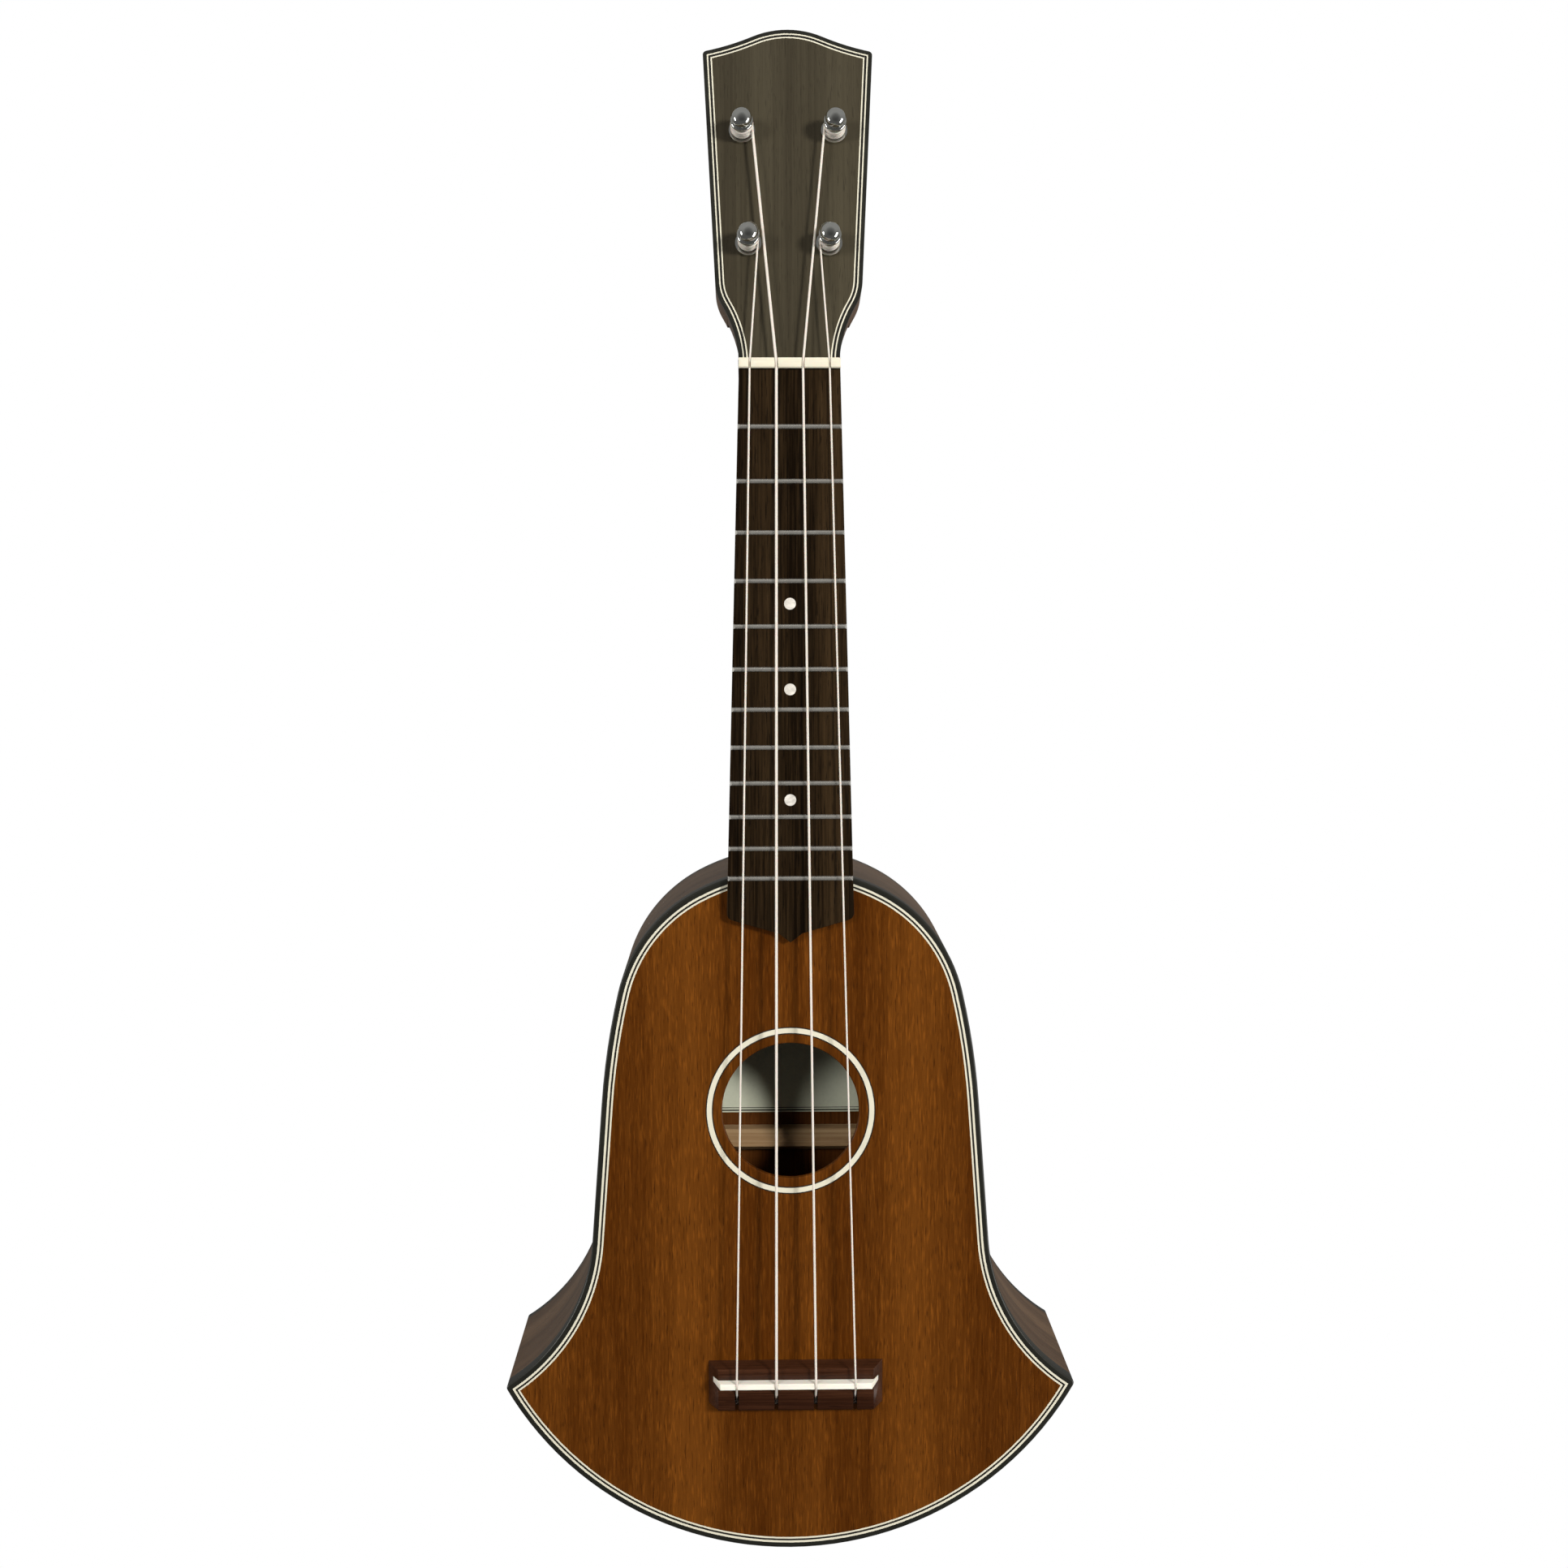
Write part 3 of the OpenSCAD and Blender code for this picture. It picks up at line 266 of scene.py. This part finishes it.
# ---- Material helpers ----
class Paint:
    """A material and short ways to add its nodes. Its pattern lives in object space, in metres."""

    def __init__(self, name):
        self.material = bpy.data.materials.new(name)
        self.material.use_nodes = True
        self.nodes = self.material.node_tree.nodes
        self.links = self.material.node_tree.links
        self.shader = self.nodes["Principled BSDF"]
        self.where = self.nodes.new("ShaderNodeTexCoord").outputs["Object"]

    def add(self, kind, **inputs):
        node = self.nodes.new(kind)
        for key, value in inputs.items():
            self.feed(node.inputs[key.replace("_", " ")], value)
        return node

    def feed(self, socket, value):
        if isinstance(value, bpy.types.NodeSocket):
            self.links.new(value, socket)
        else:
            socket.default_value = value

    def set(self, **inputs):
        for key, value in inputs.items():
            self.feed(self.shader.inputs[key.replace("_", " ")], value)

    def stretch(self, scale, shift=(0, 0, 0)):
        node = self.nodes.new("ShaderNodeMapping")
        self.feed(node.inputs["Vector"], self.where)
        node.inputs["Scale"].default_value = scale
        node.inputs["Location"].default_value = shift
        return node.outputs[0]

    def noise(self, scale, detail=2.0, roughness=0.5, shift=(0, 0, 0)):
        """Noise with its own frequency along X, Y and Z, from 0 to 1."""
        node = self.add("ShaderNodeTexNoise", Vector=self.stretch(scale, shift), Scale=1.0, Detail=detail,
                        Roughness=roughness)
        return node.outputs["Fac"]

    def maths(self, operation, a, b=0.0, clamp=False):
        node = self.nodes.new("ShaderNodeMath")
        node.operation, node.use_clamp = operation, clamp
        self.feed(node.inputs[0], a)
        self.feed(node.inputs[1], b)
        return node.outputs[0]

    def spread(self, value, low, high, to_low=0.0, to_high=1.0):
        """Maps low..high on to to_low..to_high, and holds the ends."""
        node = self.nodes.new("ShaderNodeMapRange")
        for i, v in enumerate((value, low, high, to_low, to_high)):
            self.feed(node.inputs[i], v)
        return node.outputs[0]

    def lightness_ramp(self, value, stops):
        """Grey that follows the (position, lightness) stops in straight steps."""
        node = self.nodes.new("ShaderNodeValToRGB")
        node.color_ramp.interpolation = "LINEAR"
        elements = node.color_ramp.elements
        while len(elements) < len(stops):
            elements.new(0.5)
        for element, (at, lightness) in zip(elements, stops):
            element.position = at
            element.color = (lightness, lightness, lightness, 1)
        self.feed(node.inputs[0], value)
        return self.add("ShaderNodeRGBToBW", Color=node.outputs[0]).outputs[0]

    def mix(self, share, a, b):
        node = self.nodes.new("ShaderNodeMix")
        node.data_type = "RGBA"
        self.feed(node.inputs[0], share)
        for socket, value in ((node.inputs[6], a), (node.inputs[7], b)):
            self.feed(socket, (*value, 1) if isinstance(value, tuple) else value)
        return node.outputs[2]

    def axis(self, name):
        return self.add("ShaderNodeSeparateXYZ", Vector=self.where).outputs[name]

    def bump(self, height, strength, distance):
        node = self.add("ShaderNodeBump", Height=height, Strength=strength, Distance=distance)
        self.feed(self.shader.inputs["Normal"], node.outputs[0])


# Bands of lighter wood across the soundboard, as (distance from the centre line in mm, lightness)
BANDS_REACH = 99
TOP_BANDS = ((-BANDS_REACH, 0.5), (-84, 0.65), (-72, 0.35), (-60, 0.2), (-44, 0.6), (-34, 0.95), (-28, 0.8),
             (-22, 0.35), (-8, 0.2), (3, 0.5), (9, 0.7), (15, 0.3), (24, 0.2), (34, 0.65), (43, 0.95),
             (54, 0.5), (64, 0.2), (80, 0.3), (BANDS_REACH, 0.5))
BANDS_WANDER = 4 * MM


def wood(name, dark, light, grain, coarse, roughness, coat, pores, bands=None, contrast=1.0, sheen_glints=0.0):
    """Lacquered wood. grain is the frequency per metre of the finest streaks along X, Y and Z, and
    coarse is how much slower the broad figure is. pores is how strongly the dark pores show, and the
    last argument is how strongly the golden dashes show, which are painted highlights of the grain's sheen."""
    p = Paint(name)
    fine = p.noise(grain, 4.0, 0.65)
    broad = p.noise([g / coarse for g in grain], 3.0, 0.55, (7.3, 1.7, 4.1))
    ribbon = p.noise([g / (coarse * 4) for g in grain], 2.0, 0.5, (2.1, 5.9, 8.8))
    short = [max(g * 1.7, 180) for g in grain]
    pore = p.spread(p.noise(short, 1.0, 0.5, (3.3, 9.1, 0.4)), 0.60, 0.72)
    if bands:
        wander = p.maths("MULTIPLY", p.maths("SUBTRACT", broad, 0.5), BANDS_WANDER)
        place = p.spread(p.maths("ADD", p.axis("X"), wander), -BANDS_REACH * MM, BANDS_REACH * MM)
        base = p.lightness_ramp(place, [((x + BANDS_REACH) / (2 * BANDS_REACH), v) for x, v in bands])
    else:
        base = p.spread(ribbon, 0.25, 0.75)
    figure = p.maths("MULTIPLY", p.maths("SUBTRACT", broad, 0.5), 1.3 * contrast)
    streak = p.maths("MULTIPLY", p.maths("SUBTRACT", fine, 0.5), 2.4 * contrast)
    drift = p.maths("MULTIPLY", p.maths("SUBTRACT", ribbon, 0.5), 0.5 * contrast)
    tone = p.maths("ADD", p.maths("ADD", base, drift), p.maths("ADD", figure, streak), clamp=True)
    colour = p.mix(tone, dark, light)
    deep = tuple(c * 0.45 for c in dark)
    colour = p.mix(p.maths("MULTIPLY", pore, pores), colour, deep)
    # Golden dashes mixed into the base colour are painted highlights: a painted sheen on the grain, brighter where
    # the wood is lighter.
    if sheen_glints:
        glint_dashes = p.spread(p.noise(short, 1.5, 0.55, (8.1, 2.7, 6.6)), 0.54, 0.70)
        painted_glint = p.maths("MULTIPLY", glint_dashes, p.maths("MULTIPLY", p.spread(tone, 0.1, 0.9, 0.35, 1.0), sheen_glints))
        colour = p.mix(painted_glint, colour, tuple(min(1.0, c * 1.9) for c in light))
    p.set(Base_Color=colour, Coat_Weight=coat, Coat_Roughness=0.12, Specular_IOR_Level=0.16)
    p.set(Roughness=p.spread(fine, 0.2, 0.8, roughness - 0.06, roughness + 0.08))
    p.bump(p.maths("SUBTRACT", p.maths("MULTIPLY", fine, 0.3), pore), 0.25, 0.0002)
    return p.material


def plastic(name, colour, roughness, mottle=0.08, coat=0.0, grain=(120, 120, 120), see_through=0.0):
    """Celluloid, bone or nylon: a base colour with a slow mottle and fine scuffs in its gloss."""
    p = Paint(name)
    cloud = p.noise(grain, 3.0, 0.6)
    scuff = p.noise((1400, 1400, 1400), 2.0, 0.6, (5, 3, 1))
    low = tuple(c * (1 - mottle) for c in colour)
    high = tuple(min(1.0, c * (1 + mottle)) for c in colour)
    p.set(Base_Color=p.mix(p.spread(cloud, 0.3, 0.7), low, high), Coat_Weight=coat, Coat_Roughness=0.08)
    p.set(Roughness=p.spread(scuff, 0.3, 0.7, roughness - 0.04, roughness + 0.06))
    if see_through:
        p.set(Subsurface_Weight=see_through, Subsurface_Scale=0.0008)
    return p.material


# Printed border lines of the label, as (distance from the edge, half their width)
BORDER_LINES = ((0.75 * MM, 0.24 * MM), (1.75 * MM, 0.13 * MM))
INK = (0.012, 0.012, 0.011)


def label_paper(name, colour):
    """Uncoated paper with a printed border: a thick line outside a thin one."""
    p = Paint(name)
    low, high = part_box("label")
    fibre = p.noise((900, 900, 900), 3.0, 0.6)
    across = p.maths("SUBTRACT", high.x, p.maths("ABSOLUTE", p.axis("X")))
    from_low = p.maths("SUBTRACT", p.axis("Z"), low.z)
    from_top = p.maths("SUBTRACT", high.z, p.axis("Z"))
    edge = p.maths("MINIMUM", across, p.maths("MINIMUM", from_low, from_top))
    lines = []
    for at, half in BORDER_LINES:
        lines.append(p.maths("COMPARE", edge, at))
        lines[-1].node.inputs[2].default_value = half
    ink = p.maths("MAXIMUM", *lines)
    paper = p.mix(p.spread(fibre, 0.3, 0.7), tuple(c * 0.94 for c in colour), colour)
    p.set(Base_Color=p.mix(ink, paper, INK), Roughness=0.8)
    p.bump(fibre, 0.1, 0.0001)
    return p.material


def metal(name, colour, roughness, metallic=1.0):
    """Polished metal with faint haze and hairline scratches."""
    p = Paint(name)
    haze = p.noise((260, 260, 260), 3.0, 0.6)
    hair = p.noise((3000, 400, 3000), 2.0, 0.7, (4, 4, 4))
    wear = p.maths("ADD", p.maths("MULTIPLY", haze, 0.6), p.maths("MULTIPLY", hair, 0.4))
    hazy = tuple(c * 0.93 for c in colour)
    p.set(Base_Color=p.mix(p.spread(haze, 0.3, 0.7), hazy, colour), Metallic=metallic)
    p.set(Roughness=p.spread(wear, 0.35, 0.65, roughness * 0.7, roughness * 1.5))
    p.bump(hair, 0.04, 0.00005)
    return p.material


TOP_WOOD = wood("mahogany_top", (0.057, 0.0148, 0.0010), (0.118, 0.0362, 0.0039), (1150, 60, 48), 6,
                0.34, 0.06, 0.6, TOP_BANDS, 0.8, 0.5)
BACK_WOOD = wood("mahogany_back", (0.070, 0.022, 0.005), (0.130, 0.044, 0.010), (1500, 60, 20), 5,
                 0.36, 0.12, 0.55)
SIDE_WOOD = wood("mahogany_sides", (0.055, 0.031, 0.017), (0.104, 0.062, 0.034), (22, 1500, 22), 5,
                 0.38, 0.1, 0.5)
NECK_WOOD = wood("mahogany_neck", (0.060, 0.030, 0.013), (0.110, 0.056, 0.026), (1200, 300, 20), 5,
                 0.38, 0.12, 0.5)
PALE_WOOD = wood("spruce", (0.36, 0.22, 0.11), (0.52, 0.36, 0.20), (14, 900, 900), 3, 0.6, 0.0, 0.15)
BOARD_WOOD = wood("rosewood_board", (0.0045, 0.0022, 0.0007), (0.033, 0.019, 0.008), (1500, 60, 34), 6,
                  0.42, 0.02, 0.7, contrast=0.9)
BRIDGE_WOOD = wood("rosewood_bridge", (0.022, 0.007, 0.003), (0.060, 0.022, 0.010), (26, 1700, 1700), 6,
                   0.34, 0.08, 0.6)
HEAD_WOOD = wood("headplate_veneer", (0.033, 0.027, 0.017), (0.058, 0.049, 0.031), (1300, 30, 14), 6,
                 0.36, 0.1, 0.35, contrast=0.6)
DARK_BINDING = plastic("dark_binding", (0.013, 0.013, 0.010), 0.36, 0.25, 0.05, (30, 900, 30))
CREAM = plastic("cream_trim", (0.64, 0.61, 0.49), 0.4, 0.05)
BLACK = plastic("black_trim", (0.012, 0.011, 0.009), 0.4, 0.2)
BONE = plastic("bone", (0.66, 0.62, 0.50), 0.34, 0.04, 0.05, (60, 700, 700), 0.1)
WHITE_BONE = plastic("white_bone", (0.84, 0.81, 0.72), 0.34, 0.03, 0.05, (60, 700, 700), 0.1)
NYLON = plastic("nylon_string", (0.66, 0.61, 0.55), 0.3, 0.03, 0.0, (40, 40, 40), 0.1)
PEARL = plastic("pearl", (0.60, 0.57, 0.52), 0.22, 0.25, 0.3, (420, 420, 700))
BUTTON = plastic("button_plastic", (0.70, 0.65, 0.53), 0.2, 0.08, 0.5, (90, 90, 300), 0.2)
PAPER = label_paper("label_paper", (0.68, 0.71, 0.56))
WASHER = plastic("washer_fibre", (0.03, 0.03, 0.03), 0.6, 0.2)
CHROME = metal("chrome", (0.80, 0.81, 0.79), 0.07)
NICKEL = metal("fret_metal", (0.72, 0.70, 0.65), 0.24, 0.85)

PAINTS = {
    "top_wood": TOP_WOOD, "back_wood": BACK_WOOD, "side_wood": SIDE_WOOD, "neck_wood": NECK_WOOD,
    "inner_wood": PALE_WOOD, "board_wood": BOARD_WOOD, "bridge_wood": BRIDGE_WOOD,
    "headplate_wood": HEAD_WOOD, "dark_binding": DARK_BINDING, "cream_trim": CREAM, "black_trim": BLACK,
    "bone": BONE, "nylon": NYLON, "pearl": PEARL, "button_plastic": BUTTON, "paper": PAPER,
    "fibre_washer": WASHER, "chrome": CHROME, "fret_metal": NICKEL,
}


def paint_nodes():
    """Every CAD node takes the material of its slot and is shaded smooth up to its real edges."""
    for name, obj in NODES.items():
        obj.data.materials.clear()
        obj.data.materials.append(PAINTS[slot_of(name)])
        for attribute in [a for a in obj.data.attributes if a.name == "custom_normal"]:
            obj.data.attributes.remove(attribute)
        obj.data.shade_smooth()
        obj.modifiers.new("weld", "WELD").merge_threshold = 1e-6
        obj.modifiers.new("edges", "EDGE_SPLIT").split_angle = math.radians(30)


# ---- Pegs ----
# Turned outline of a post, as (radius, height above the headplate) in mm
POST_STEM = ((0, -28), (1.85, -28), (1.85, -16.1), (2.95, -16.1), (2.95, 7.0))
POST_COLLAR = ((3.05, 7.3), (3.5, 7.6), (3.78, 7.75), (3.88, 8.1), (3.88, 8.6), (3.75, 8.95), (3.4, 9.15),
               (2.55, 9.18), (2.4, 9.0))
DOME_R = 3.45
DOME_RISE = 2.93
DOME_MIDDLE = 11.07
DOME_TOP = (0, DOME_MIDDLE + DOME_RISE)
STRING_LEVEL = 4.6 * MM


def peg_place(string):
    """Frame of a peg: Z is the height above the headplate and X points right."""
    joint = PEG_JOINTS[string]
    out = -Vector(joint["axis"]).normalized()
    right = Vector((1, 0, 0))
    turn = Matrix((right, out.cross(right), out)).transposed().to_4x4()
    return Matrix.Translation(joint["pos_m"]) @ turn


def make_post(string):
    dome = tuple((DOME_R * math.cos(math.radians(a)), DOME_MIDDLE + DOME_RISE * math.sin(math.radians(a)))
                 for a in range(-46, 90, 4))
    profile = POST_STEM + POST_COLLAR + dome + (DOME_TOP,)
    bm = bmesh.new()
    lathe(bm, [(r * MM, h * MM) for r, h in profile], peg_place(string), 64)
    piece(f"{string}_post_turned", bm, CHROME, f"{string}_peg", (f"{string}_post",), 40)


def node_points(node):
    return list({tuple(round(c, 6) for c in v.co) for v in NODES[node].data.vertices})


def middle(points):
    return sum((Vector(p) for p in points), Vector()) / len(points)


# Where a CAD string's rings of points lie along it
END_SLICE = 1.2 * MM
NUT_SLICE = 10 * MM
KNOT_SLICE = 2.6 * MM
SADDLE_FROM_KNOT = 5 * MM
SADDLE_BELOW = -300 * MM
# The drawn string and its coils
SADDLE_BEND = 1.3 * MM
NUT_BEND = 1.6 * MM
BEND_STEPS = 6
TURN_STEPS = 30
TURN_STEP = math.radians(10)
KNOT_R = 1.05 * MM
KNOT_STEPS = 48
LAST_COIL = 0.92
STEPS_PER_COIL = 30


def string_facts(string):
    """A string's knot, its bends at the saddle and the nut, its end at the post, and its radius."""
    points = node_points(f"{string}_string")
    top = max(z for _, _, z in points)
    low = min(z for _, _, z in points)
    end = [q for q in points if q[2] > top - END_SLICE]
    nut = [q for q in points if abs(q[2]) < NUT_SLICE]
    saddle = [q for q in points if low + SADDLE_FROM_KNOT < q[2] < SADDLE_BELOW]
    knot = [q for q in points if q[2] < low + KNOT_SLICE]
    at = middle(end)
    return middle(knot), middle(saddle), middle(nut), at, max((Vector(q) - at).length for q in end)


def rounded(a, corner, b, reach):
    """Points of a bend that starts and ends `reach` from the corner."""
    start = corner + (a - corner).normalized() * reach
    stop = corner + (b - corner).normalized() * reach
    shares = [k / BEND_STEPS for k in range(BEND_STEPS + 1)]
    return [start.lerp(corner, t).lerp(corner.lerp(stop, t), t) for t in shares]


def knot_loop(knot, radius):
    """A trefoil round the middle of the knot."""
    size = (KNOT_R - radius * 0.6) / 2.4
    turns = [2 * math.pi * k / KNOT_STEPS for k in range(KNOT_STEPS + 1)]
    return [knot + size * Vector((math.sin(t) + 2 * math.sin(2 * t), math.cos(t) - 2 * math.cos(2 * t),
                                  -math.sin(3 * t))) for t in turns]


def make_string(string):
    """A string from its knot over saddle and nut to the post, with most of a turn in the winding's gap."""
    knot, saddle, nut, end, radius = string_facts(string)
    place = peg_place(string)
    local = place.inverted() @ end
    wrap = math.hypot(local.x, local.y)
    start = math.atan2(local.y, local.x)
    heading = place.inverted() @ (end + (end - nut).normalized() * MM) - local
    way = 1 if local.x * heading.y - local.y * heading.x > 0 else -1
    path = [knot + (saddle - knot).normalized() * MM]
    path += rounded(knot, saddle, nut, SADDLE_BEND)
    path += [saddle.lerp(nut, k / 12) for k in range(1, 12)]
    path += rounded(saddle, nut, end, NUT_BEND)
    path += [nut.lerp(end, k / 6) for k in range(1, 6)]
    for k in range(TURN_STEPS + 1):
        a = start + way * TURN_STEP * k
        path.append(place @ Vector((wrap * math.cos(a), wrap * math.sin(a), local.z)))
    bm = bmesh.new()
    tube(bm, path, radius, 14)
    tube(bm, knot_loop(knot, radius), radius * 0.9, 10)
    piece(f"{string}_string_drawn", bm, NYLON, BODY, (f"{string}_string",))
    return radius


def make_winding(string, radius):
    """Coils of string above and below the one that arrives, packed side by side."""
    place = peg_place(string)
    points = [place.inverted() @ Vector(q) for q in node_points(f"{string}_winding")]
    outer = max(math.hypot(q.x, q.y) for q in points)
    below = [q.z for q in points if q.z < STRING_LEVEL]
    above = [q.z for q in points if q.z > STRING_LEVEL]
    r = outer - radius
    bm = bmesh.new()
    for heights, first in ((below, 0.4), (above, 2.2)):
        low, high = min(heights) + radius, max(heights) - radius
        coils = max(round((high - low) / (2 * radius)), 0) + LAST_COIL
        steps = round(coils * STEPS_PER_COIL)
        path = []
        for k in range(steps + 1):
            a = first + 2 * math.pi * coils * k / steps
            path.append(place @ Vector((r * math.cos(a), r * math.sin(a), low + (high - low) * k / steps)))
        tube(bm, path, radius, 10)
    piece(f"{string}_winding_coiled", bm, NYLON, f"{string}_peg", (f"{string}_winding",))


# ---- CAD pieces with softened edges ----
TOUCH = 0.01 * MM
BODY_MIDDLE = Vector((0, 0, -0.29))
HOLE_LOW, HOLE_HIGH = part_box("rosette_ring")
HOLE_Z = (HOLE_LOW.z + HOLE_HIGH.z) / 2
HOLE_REACH = 24.5 * MM
BOARD_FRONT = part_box("fretboard")[0].y
BOARD_END_Z = -180 * MM
BRIDGE_CORNER_R = 1.8 * MM
BRIDGE_EDGE_R = 0.25 * MM


def lies_between(edge, axis, low, high):
    return all(low <= v.co[axis] <= high for v in edge.verts)


def on_front(edge):
    return lies_between(edge, 1, -1, TOUCH)


def rounds_hole(edge):
    """An edge of the soundhole on the soundboard's front."""
    return on_front(edge) and all(math.hypot(v.co.x, v.co.z - HOLE_Z) < HOLE_REACH for v in edge.verts)


def rounds_body(edge):
    """An edge of the front's rim that faces away from the middle of the body."""
    at = (edge.verts[0].co + edge.verts[1].co) / 2
    return on_front(edge) and any(
        abs(f.normal.y) < 0.5 and f.normal.dot(at - BODY_MIDDLE) > 0 for f in edge.link_faces)


def rounds_board(edge):
    """A front edge of the fingerboard along its sides or its lower end, but not across it at a fret."""
    a, b = (v.co for v in edge.verts)
    return lies_between(edge, 1, BOARD_FRONT - 0.1 * MM, BOARD_FRONT + 0.1 * MM) and (
        abs(a.z - b.z) > abs(a.x - b.x) or a.z < BOARD_END_Z)


def make_bridge():
    """The bridge with its lower corners rounded over and its other edges softened."""
    bm = welded("bridge")
    low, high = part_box("bridge")
    folded = [e for e in bm.edges if len(e.link_faces) == 2]
    bevel(bm, [e for e in folded if lies_between(e, 2, low.z - TOUCH, low.z + 0.9 * MM)
               and abs(e.verts[0].co.y - e.verts[1].co.y) > 4 * MM and e.calc_face_angle() > 1
               and min(abs(e.verts[0].co.x - low.x), abs(e.verts[0].co.x - high.x)) < 4 * MM],
          BRIDGE_CORNER_R, 5)
    bevel(bm, [e for e in bm.edges if len(e.link_faces) == 2 and e.calc_face_angle() > 0.6
               and abs(e.verts[0].co.y) > 0.1 * MM], BRIDGE_EDGE_R, 2)
    piece("bridge_carved", bm, BRIDGE_WOOD, BODY, ("bridge",))


# ---- The scene ----
make_camera()
paint_nodes()
make_stage()
for name, settings in LIGHTS.items():
    area_light(name, *settings)
for name in STRINGS:
    make_post(name)
    make_winding(name, make_string(name))
    softened(f"{name}_button", BUTTON, 0.9 * MM, segments=4, body=f"{name}_peg")
softened("nut", BONE, 0.2 * MM)
softened("saddle", WHITE_BONE, 0.25 * MM)
softened("soundboard", TOP_WOOD, 0.45 * MM, rounds_hole)
softened("top_binding", DARK_BINDING, 0.7 * MM, rounds_body)
softened("fretboard", BOARD_WOOD, 0.3 * MM, rounds_board)
make_bridge()
bpy.context.scene.view_settings.view_transform = "Standard"
